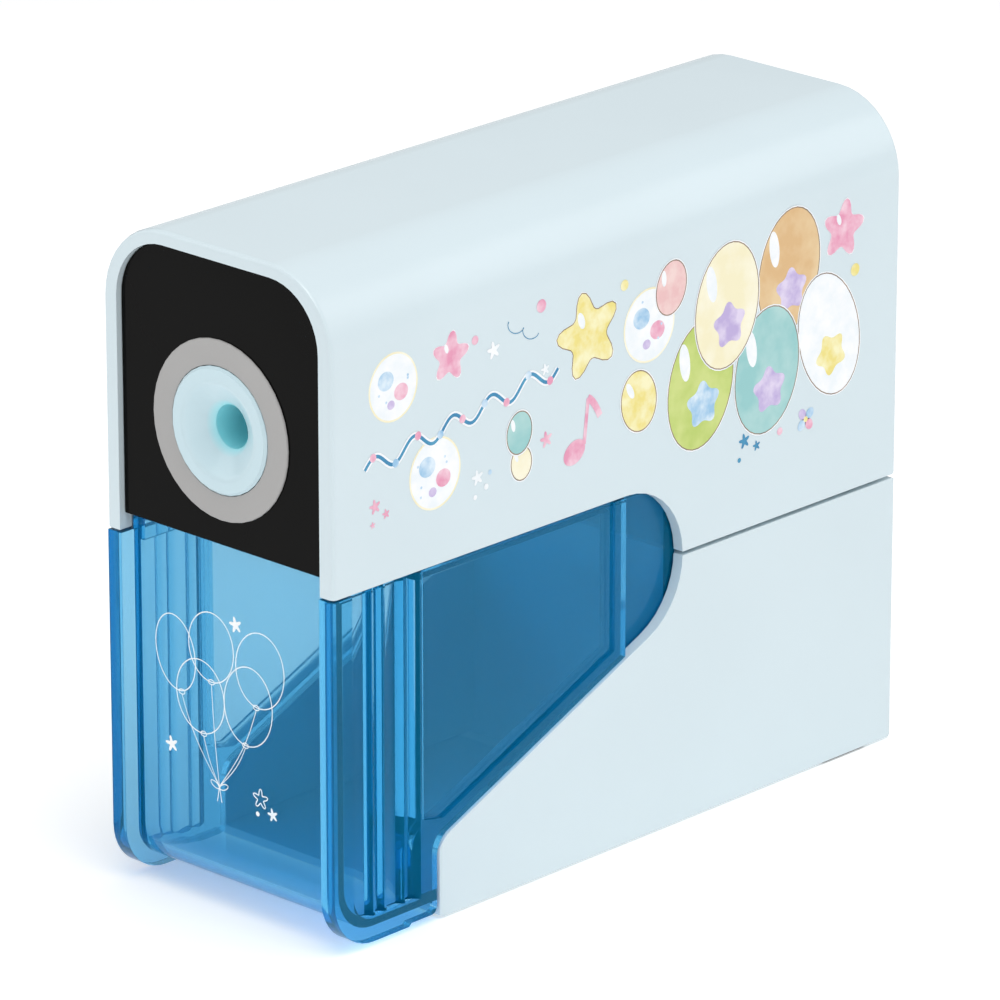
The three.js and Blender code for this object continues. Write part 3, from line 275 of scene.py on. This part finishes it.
def aqua_with_painted_throat_shade():
    """Pale aqua plastic with painted shade: a teal colour deepening down the throat stands in for the
    shadow inside the bore.
    """
    material = moulded("guide_aqua_painted_throat_shade", linear(202, 226, 234), 0.22, 0.015, 0.02)
    n = Nodes(material)
    split = n.tree.nodes.new("ShaderNodeSeparateXYZ")
    n.link(n.coords, split.inputs[0])
    depth = n.spread(split.outputs["Y"], 0, 1, (FRONT + THROAT_SHADE_FROM, FRONT + THROAT_SHADE_TO))
    mix = n.tree.nodes.new("ShaderNodeMix")
    mix.data_type = "RGBA"
    n.link(depth, mix.inputs["Factor"])
    bsdf = n.tree.nodes["Principled BSDF"]
    n.link(bsdf.inputs["Base Color"].links[0].from_socket, mix.inputs["A"])
    # painted shade: deeper in the throat the base colour is mixed towards teal, where the bore lies in
    # shadow
    mix.inputs["B"].default_value = THROAT_PAINTED_SHADE
    n.link(mix.outputs["Result"], bsdf.inputs["Base Color"])
    return material


def black_gloss():
    material = moulded("panel_black_gloss", (0.0035, 0.0034, 0.0032, 1), 0.14, 0.1, 0.01)
    bsdf = material.node_tree.nodes["Principled BSDF"]
    bsdf.inputs["Specular IOR Level"].default_value = PANEL_SHINE
    return material


MATERIALS = {
    "casing": moulded("casing_pale_blue", linear(213, 228, 234), 0.26, 0.008, 0.008, 0.04),
    "panel": black_gloss(),
    "trim": moulded("trim_satin_grey", linear(171, 170, 169), 0.5, 0.03, 0.15),
    "guide": aqua_with_painted_throat_shade(),
    "black_plastic": moulded("plastic_black", (0.02, 0.02, 0.021, 1), 0.5, 0.1, 0.2),
    "white_nylon": moulded("nylon_natural", linear(232, 230, 220), 0.5, 0.03, 0.1),
    "grey_nylon": moulded("plastic_grey", linear(138, 142, 147), 0.5, 0.04, 0.15),
    "drawer": clear_blue(),
    "steel": metal("steel_ground", linear(150, 153, 158), 0.28),
    "zinc": metal("zinc_plate", linear(186, 190, 194), 0.32),
    "brass": metal("brass_turned", linear(205, 165, 75), 0.3),
    "rubber": moulded("rubber_matt", (0.03, 0.03, 0.032, 1), 0.85, 0.15, 0.5, grain_scale=900),
    "cell": moulded("cell_jacket", linear(60, 72, 88), 0.3, 0.1, 0.05),
}


def dress_nodes():
    """Every CAD node: material of its slot, soft moulded edges, smooth curved faces."""
    slots = {row["node"]: row["material_slot"] for row in frame["record"]["subparts"]}
    for name, piece in nodes.items():
        piece.data.materials.clear()
        piece.data.materials.append(MATERIALS[slots[name]])
        piece.data.polygons.foreach_set("use_smooth", [True] * len(piece.data.polygons))
        weld = piece.modifiers.new("weld", "WELD")
        weld.merge_threshold = WELD_REACH
        flat = piece.modifiers.new("flat", "DECIMATE")
        flat.decimate_type = "DISSOLVE"
        flat.angle_limit = FLAT_ANGLE
        edge = piece.modifiers.new("edge", "BEVEL")
        edge.width = EDGE_WIDTH
        edge.segments = EDGE_SEGMENTS
        edge.limit_method = "ANGLE"
        edge.angle_limit = EDGE_ANGLE
        edge.harden_normals = False
        normals = piece.modifiers.new("normals", "WEIGHTED_NORMAL")
        normals.keep_sharp = True


# ---- Prints -------------------------------------------------------------------------------
# All in millimetres. A place is (along, up): along is Y on the casing's side, X on the drawer.

UNDER, BASE, DETAIL, TOP = 1, 2, 3, 4  # layers of one motif, outwards
OUTLINE, THIN, HAIR = 0.22, 0.2, 0.16  # line widths
ORIGIN = (0, 0)

BUBBLE_RIM = 0.4
BUBBLE_SPOTS = (  # ink, place and size as shares of the bubble's radius
    ("sky", -0.32, 0.26, 0.34),
    ("pink", 0.34, -0.22, 0.3),
    ("lilac", -0.1, -0.55, 0.16),
)
BUBBLE_SPECKS = 5
SPECK = 0.28
BUBBLES = (  # place, radius
    ((-63.4, 109.8), 6.1),
    ((-52.4, 90.2), 6.5),
    ((6.4, 105), 6.8),
)
PEBBLE_RIM = 0.35
PEBBLES = (  # place, half width, half height, ink, tilt, ink of the gem on it
    ((12.6, 111), 4.2, 5.4, "blush", -14, None),
    ((28.6, 103.6), 9, 12.6, "cream", -8, "lilac"),
    ((46.6, 106.4), 8.8, 12.6, "tan", -10, "lilac"),
    ((58.6, 90.6), 8.6, 13.2, "white", 18, "yellow"),
    ((21.2, 89.4), 9.2, 13, "green", -10, "sky"),
    ((40.4, 87.6), 9.2, 12.8, "teal", -8, "lilac"),
    ((3.6, 90.4), 4.9, 6.2, "yellow", 12, None),
    ((-29.6, 92.4), 3.4, 4.2, "teal", -6, None),
    ((-29, 86.2), 2.8, 3.4, "cream", 6, None),
)
STAR_RIM = 0.3
BIG_STARS = (  # place, radius, ink, ink of the outline, tilt
    ((-10.6, 107.2), 8.8, "yellow", "line", 12),
    ((-48.2, 112), 4.9, "pink", "pink", -8),
    ((62.4, 111.2), 6, "pink", "pink", -10),
)
SMALL_STARS = (  # place, radius, ink
    ((-36.6, 110.4), 1.8, "white"), ((-41, 86.4), 1.6, "white"), ((-22.2, 89.2), 1.7, "pink"),
    ((-68.4, 87.7), 1.5, "pink"), ((-65.5, 85.6), 1, "pink"), ((-69, 84.2), 0.7, "pink"),
    ((34, 74.6), 1.6, "blue"), ((37.6, 72.8), 1.1, "blue"), ((-22.5, 103.2), 1.2, "white"),
)
DOTS = (  # place, radius, ink
    ((-41.6, 113.6), 0.9, "pink"), ((-23.6, 116), 1.3, "pink"), ((-0.6, 114.6), 1.1, "yellow"),
    ((66.1, 102), 1.3, "yellow"), ((44.4, 74), 0.8, "pink"), ((32.6, 71), 0.5, "blue"),
    ((-38.6, 84), 0.6, "white"), ((-41.6, 82.6), 0.5, "white"), ((-37.6, 86.6), 0.5, "sky"),
)
FLOWER = (52, 74.6)
FLOWER_REACH = 1.5
PETALS = ("sky", "lilac", "sky", "pink")

NOTE_HEAD = (-14.4, 84.6)
NOTE_STEM = (-11.7, 85.6)
NOTE_FLAG = (-10.7, 94.6)
GARLAND_START, GARLAND_REACH, GARLAND_RISE = (-71, 95.4), 52, 7.2
GARLAND_WAVE, GARLAND_WAVES, GARLAND_STEPS = 1.7, 5, 96
BEAD, BEAD_EVERY = 0.85, 11
CURL_START, CURL_REACH, CURL_FALL, CURL_STEPS = (-33.6, 114.6), 9, 4.6, 39

BALLOONS = (  # place, half width, half height, tilt
    ((-15, 49.6), 5.2, 7.6, 12),
    ((-5.4, 53), 6, 7, 0),
    ((7.6, 51.6), 6.4, 7.6, -8),
    ((-8.4, 42.4), 6.4, 7.4, 6),
    ((4.4, 43.6), 6.4, 8, -6),
)
KNOT = (-3.6, 25.4)
STRING_SAG = 0.12  # share of how far a string runs sideways
STRING_STEPS = 8
DRAWER_STARS = (((1.2, 59.2), 1.7), ((-16.4, 30.6), 1.7), ((10.6, 23.4), 1.4))


def watercolour(name, light, dark, scale=260):
    """Ink with the soft blotches of a watercolour wash."""
    material, bsdf = new_material(name)
    n = Nodes(material)
    wash = [(0.36, linear(*light)), (0.62, linear(*dark))]
    n.link(n.ramp(n.noise(scale, 3, 0.55), wash), bsdf.inputs["Base Color"])
    n.link(n.spread(n.noise(700, 2), 0.28, 0.4), bsdf.inputs["Roughness"])
    return material


def ellipse(half_width, half_height, tilt=0, steps=36):
    turn = math.radians(tilt)
    points = []
    for i in range(steps):
        a = 2 * math.pi * i / steps
        u, v = half_width * math.cos(a), half_height * math.sin(a)
        points.append((u * math.cos(turn) - v * math.sin(turn), u * math.sin(turn) + v * math.cos(turn)))
    return points


def star(radius, tilt=0, plump=0.58, steps=10):
    """Five-pointed star with rounded arms."""
    points = []
    for i in range(5 * steps):
        a = 2 * math.pi * i / (5 * steps)
        wave = 0.5 + 0.5 * math.cos(5 * a)
        r = radius * (plump + (1 - plump) * wave ** 1.3)
        turn = a + math.radians(90 + tilt)
        points.append((r * math.cos(turn), r * math.sin(turn)))
    return points


def ribbon(points, width):
    """Left and right edges of a line of even width through the points."""
    left, right = [], []
    for i, point in enumerate(points):
        before, after = points[max(i - 1, 0)], points[min(i + 1, len(points) - 1)]
        along = Vector((after[0] - before[0], after[1] - before[1])).normalized()
        across = Vector((-along.y, along.x)) * width / 2
        left.append((point[0] + across.x, point[1] + across.y))
        right.append((point[0] - across.x, point[1] - across.y))
    return left, right


def beside(at, along, up):
    return (at[0] + along, at[1] + up)


class Print:
    """Flat ink shapes on one face of the product, in millimetres on that face."""

    STEP = 0.002  # between layers
    LAYERS = 5  # kept for each motif
    LEVELS = 6  # before motifs come down to the first level again

    def __init__(self, name, place, materials):
        self.name = name
        self.place = place
        self.mesh = bmesh.new()
        self.materials = materials
        self.keys = list(materials)
        self.level = 0

    def next_level(self):
        """Lifts the next motif off the last few, so that overlapping inks never share a plane."""
        self.level = (self.level + 1) % self.LEVELS

    def add(self, corners, layer, key):
        lift = self.STEP * (self.LAYERS * self.level + layer)
        face = self.mesh.faces.new([self.mesh.verts.new(self.place(u, v, lift)) for u, v in corners])
        face.material_index = self.keys.index(key)

    def fill(self, points, at, key, layer):
        self.add([(at[0] + u, at[1] + v) for u, v in points], layer, key)

    def line(self, points, at, key, width, layer, closed=True):
        moved = [(at[0] + u, at[1] + v) for u, v in points]
        loop = moved + moved[:2] if closed else moved
        left, right = ribbon(loop, width)
        if closed:
            left, right = left[1:], right[1:]
        for i in range(len(left) - 1):
            self.add([left[i], left[i + 1], right[i + 1], right[i]], layer, key)

    def finish(self, body):
        data = bpy.data.meshes.new(self.name)
        self.mesh.normal_update()
        self.mesh.to_mesh(data)
        self.mesh.free()
        for key in self.keys:
            data.materials.append(self.materials[key])
        piece = bpy.data.objects.new(self.name, data)
        scene.collection.objects.link(piece)
        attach(piece, body)


INKS = {
    "line": watercolour("ink_line", (150, 124, 100), (120, 100, 84)),
    "white": watercolour("ink_white", (252, 253, 255), (240, 246, 250)),
    "pink": watercolour("ink_pink", (246, 208, 222), (232, 150, 182)),
    "yellow": watercolour("ink_yellow", (250, 244, 196), (240, 224, 130)),
    "green": watercolour("ink_green", (206, 220, 130), (184, 206, 98), 120),
    "teal": watercolour("ink_teal", (176, 216, 214), (146, 202, 202), 120),
    "tan": watercolour("ink_tan", (234, 206, 160), (222, 182, 128), 120),
    "cream": watercolour("ink_cream", (252, 248, 226), (246, 238, 200), 120),
    "blush": watercolour("ink_blush", (244, 214, 210), (236, 190, 190)),
    "sky": watercolour("ink_sky", (222, 238, 250), (150, 196, 230)),
    "lilac": watercolour("ink_lilac", (226, 214, 240), (190, 172, 220)),
    "blue": watercolour("ink_blue", (60, 150, 190), (30, 128, 176)),
}


def bubble(sheet, rng, at, radius):
    """White bubble with a cream rim, three washed spots and scattered specks."""
    sheet.next_level()
    sheet.fill(ellipse(radius + BUBBLE_RIM, radius * 1.04 + BUBBLE_RIM), at, "cream", UNDER)
    sheet.fill(ellipse(radius, radius * 1.04), at, "white", BASE)
    for key, along, up, share in BUBBLE_SPOTS:
        spot = beside(at, along * radius, up * radius)
        sheet.fill(ellipse(radius * share, radius * share * 0.9), spot, key, DETAIL)
    for _ in range(BUBBLE_SPECKS):
        a, r = rng.uniform(0, 2 * math.pi), radius * rng.uniform(0.5, 0.85)
        speck = beside(at, r * math.cos(a), r * math.sin(a))
        sheet.fill(ellipse(SPECK, SPECK, 0, 10), speck, "sky", TOP)


def pebble(sheet, at, width, height, key, tilt, gem):
    """Plain rounded pebble: rim, wash, fine outline, soft highlight and a little gem shape."""
    sheet.next_level()
    sheet.fill(ellipse(width + PEBBLE_RIM, height + PEBBLE_RIM, tilt), at, "white", UNDER)
    sheet.fill(ellipse(width, height, tilt), at, key, BASE)
    sheet.line(ellipse(width, height, tilt), at, "line", OUTLINE, DETAIL)
    shine = beside(at, -width * 0.5, height * 0.42)
    sheet.fill(ellipse(width * 0.16, height * 0.3, tilt + 18), shine, "white", TOP)
    if gem:
        low = beside(at, width * 0.08, -height * 0.32)
        sheet.fill(star(width * 0.52, tilt + 12, 0.72), low, gem, TOP)


def big_star(sheet, at, radius, key, line_key, tilt):
    sheet.next_level()
    sheet.fill(star(radius + STAR_RIM, tilt), at, "white", UNDER)
    sheet.fill(star(radius, tilt), at, key, BASE)
    sheet.line(star(radius, tilt), at, line_key, THIN, DETAIL)
    shine = beside(at, -radius * 0.22, radius * 0.36)
    sheet.fill(ellipse(radius * 0.1, radius * 0.2, 20), shine, "white", TOP)


def flower(sheet):
    for quarter, key in enumerate(PETALS):
        a = math.radians(90 * quarter + 40)
        petal = beside(FLOWER, FLOWER_REACH * math.cos(a), FLOWER_REACH * math.sin(a))
        sheet.fill(ellipse(1.3, 1, math.degrees(a)), petal, key, BASE)
    sheet.fill(ellipse(0.6, 0.6, 0, 14), FLOWER, "yellow", DETAIL)


def note(sheet):
    """Plain pink quaver."""
    sheet.fill(ellipse(3.1, 2.3, 25), NOTE_HEAD, "pink", BASE)
    stem = [beside(NOTE_STEM, 0.12 * i, i) for i in range(10)]
    sheet.line(stem, ORIGIN, "pink", 0.9, DETAIL, closed=False)
    flag = []
    for t in (0, 0.2, 0.4, 0.6, 0.8, 1):
        flag.append(beside(NOTE_FLAG, 3.4 * t, -4.4 * t * t - 0.4 * math.sin(math.pi * t)))
    sheet.line(flag, ORIGIN, "pink", 1.5, TOP, closed=False)


def garland(sheet):
    """Wavy streamer with beads and a curl, between the bubbles."""
    wave = []
    for i in range(GARLAND_STEPS + 1):
        t = i / GARLAND_STEPS
        swing = GARLAND_WAVE * math.sin(t * 2 * math.pi * GARLAND_WAVES)
        wave.append(beside(GARLAND_START, GARLAND_REACH * t, GARLAND_RISE * t + swing))
    sheet.line(wave, ORIGIN, "white", 1.5, UNDER, closed=False)
    sheet.line(wave, ORIGIN, "blue", 0.7, BASE, closed=False)
    for i in range(4, GARLAND_STEPS + 1, BEAD_EVERY):
        sheet.fill(ellipse(BEAD, BEAD, 0, 16), wave[i], "sky" if i % 2 else "pink", DETAIL)
    curl = []
    for i in range(CURL_STEPS + 1):
        t = i / CURL_STEPS
        along = CURL_REACH * t + 0.9 * math.cos(t * 14)
        curl.append(beside(CURL_START, along, -CURL_FALL * t + 0.8 * math.sin(t * 14)))
    sheet.line(curl, ORIGIN, "blue", HAIR, BASE, closed=False)


def side_prints():
    """Bubbles, pebbles, stars, a note and a streamer on the casing's right side."""
    sheet = Print("side_print", lambda u, v, lift: (SIDE + lift * MM, u * MM, v * MM), INKS)
    rng = random.Random(7)
    for row in BUBBLES:
        bubble(sheet, rng, *row)
    for row in PEBBLES:
        pebble(sheet, *row)
    for row in BIG_STARS:
        big_star(sheet, *row)
    sheet.next_level()
    for at, radius, key in SMALL_STARS:
        sheet.fill(star(radius, 10, 0.45), at, key, BASE)
    for at, radius, key in DOTS:
        sheet.fill(ellipse(radius, radius, 0, 16), at, key, BASE)
    flower(sheet)
    note(sheet)
    garland(sheet)
    sheet.finish("housing")


def balloon(sheet, at, width, height, tilt):
    """Outline, knot and the string that runs down to where all strings are tied."""
    sheet.next_level()
    sheet.line(ellipse(width, height, tilt), at, "white", OUTLINE, BASE)
    foot = beside(at, math.sin(math.radians(tilt)) * height, -height)
    sheet.line(ellipse(0.8, 0.5, 0, 12), foot, "white", THIN, DETAIL)
    start = beside(foot, 0, -0.5)
    sag = (KNOT[0] - foot[0]) * STRING_SAG
    string = []
    for i in range(STRING_STEPS + 1):
        t = i / STRING_STEPS
        along = (KNOT[0] - foot[0]) * t - sag * math.sin(math.pi * t)
        string.append(beside(start, along, (KNOT[1] - start[1]) * t))
    sheet.line(string, ORIGIN, "white", HAIR, TOP, closed=False)


def face_print():
    """White line drawing on the drawer's front: plain balloons on strings, and stars."""
    inks = {"white": watercolour("ink_drawer_white", (255, 255, 255), (236, 246, 252))}
    sheet = Print("drawer_print", lambda u, v, lift: (u * MM, DRAWER_FACE - lift * MM, v * MM), inks)
    for row in BALLOONS:
        balloon(sheet, *row)
    for side in (-1, 1):
        sheet.next_level()
        sheet.line(ellipse(1.2, 0.55, side * 25, 16), beside(KNOT, side * 1.2, 0.1), "white", THIN, BASE)
        tail = [beside(KNOT, side * 0.15 * i, -0.8 * i) for i in range(5)]
        sheet.line(tail, ORIGIN, "white", THIN, DETAIL, closed=False)
    for at, radius in DRAWER_STARS:
        sheet.fill(star(radius, 14, 0.42), at, "white", BASE)
    sheet.line(star(2, 0, 0.42), (7.4, 25.8), "white", 0.25, BASE)
    sheet.fill(ellipse(0.5, 0.5, 0, 14), (6.6, 22.6), "white", BASE)
    sheet.finish("drawer")


add_camera()
add_studio()
dress_nodes()
side_prints()
face_print()
